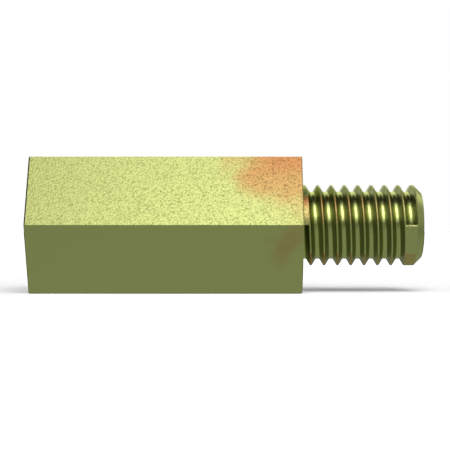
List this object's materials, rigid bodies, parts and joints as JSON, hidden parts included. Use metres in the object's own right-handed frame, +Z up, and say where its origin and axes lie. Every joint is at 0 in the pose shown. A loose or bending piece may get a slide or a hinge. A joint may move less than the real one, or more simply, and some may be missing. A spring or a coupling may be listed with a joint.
{
  "type": "hex standoff",
  "caption": "Brass hexagon spacer with a threaded stud at one end and a blind tapped hole at the other, for holding a board or panel clear of what it is fixed to.",
  "frame": {"origin": "centre of the end face that the tapped hole opens in, on the thread axis", "axes": "+X along the thread axis towards the stud, +Z up and square to the flat that the part lies on"},
  "size_m": [0.0145, 0.0058, 0.005],
  "materials": {
    "brass": "drawn bar with a fine grain, tarnished orange in patches by the shoulder"
  },
  "bodies": {
    "root": {"hex_standoff": "brass"}
  },
  "joints": []
}
